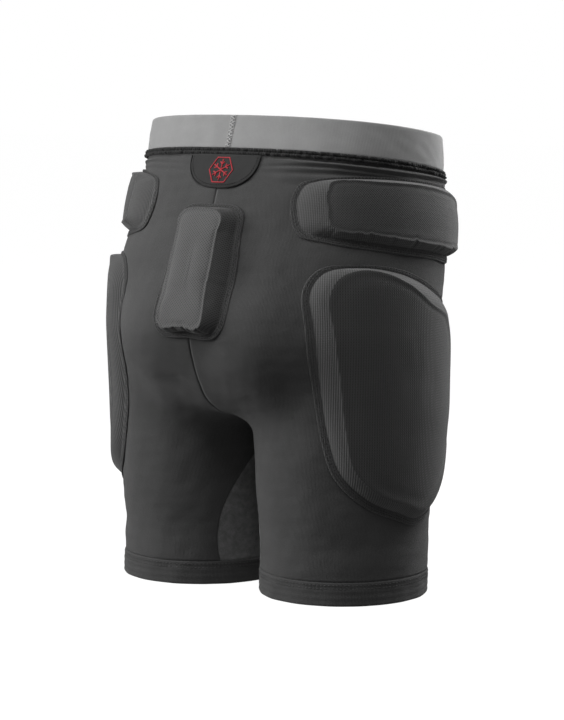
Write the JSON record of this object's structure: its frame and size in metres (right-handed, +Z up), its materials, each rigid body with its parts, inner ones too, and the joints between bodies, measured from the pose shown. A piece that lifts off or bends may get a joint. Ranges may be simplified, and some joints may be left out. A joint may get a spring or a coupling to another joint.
{
  "type": "padded impact shorts",
  "caption": "Close-fitting snow-sports shorts with foam pads under sewn mesh covers at the hips, thighs and tailbone, and an elastic waistband.",
  "frame": {"origin": "middle of the footprint, on the plane of the two hems", "axes": "+Z up from the hems to the waist, front faces -Y, wearer's left is +X"},
  "size_m": [0.3636, 0.291, 0.4549],
  "materials": {
    "elastic": "brushed knitted elastic with a fine vertical rib",
    "join_thread": "light grey overlock thread",
    "seam_thread": "dark coverstitch thread",
    "side_knit": "charcoal stretch knit, matte with a soft sheen",
    "thigh_mesh": "dark open knit mesh",
    "label_cloth": "near-black smooth cloth",
    "label_red": "muted red print",
    "cover_mesh": "spacer mesh, lighter on the sloping edges",
    "foam": "closed-cell foam, matte"
  },
  "bodies": {
    "root": {"waistband": "elastic", "waistband_join_stitching": "join_thread", "waist_seam_stitching": "seam_thread", "left_side_panel": "side_knit", "right_side_panel": "side_knit", "left_inner_thigh_panel": "thigh_mesh", "right_inner_thigh_panel": "thigh_mesh", "left_hem": "side_knit", "right_hem": "side_knit", "left_hem_stitching": "seam_thread", "right_hem_stitching": "seam_thread", "centre_back_seam": "seam_thread", "centre_front_seam": "seam_thread", "label_patch": "label_cloth", "label_piping": "label_cloth", "label_motif": "label_red", "tailbone_pad_foam": "foam", "tailbone_pad_cover": "cover_mesh", "tailbone_pad_stitching": "seam_thread", "left_hip_pad_foam": "foam", "left_hip_pad_cover": "cover_mesh", "left_hip_pad_stitching": "seam_thread", "left_thigh_pad_foam": "foam", "left_thigh_pad_cover": "cover_mesh", "left_thigh_pad_stitching": "seam_thread", "right_hip_pad_foam": "foam", "right_hip_pad_cover": "cover_mesh", "right_hip_pad_stitching": "seam_thread", "right_thigh_pad_foam": "foam", "right_thigh_pad_cover": "cover_mesh", "right_thigh_pad_stitching": "seam_thread"}
  },
  "joints": []
}
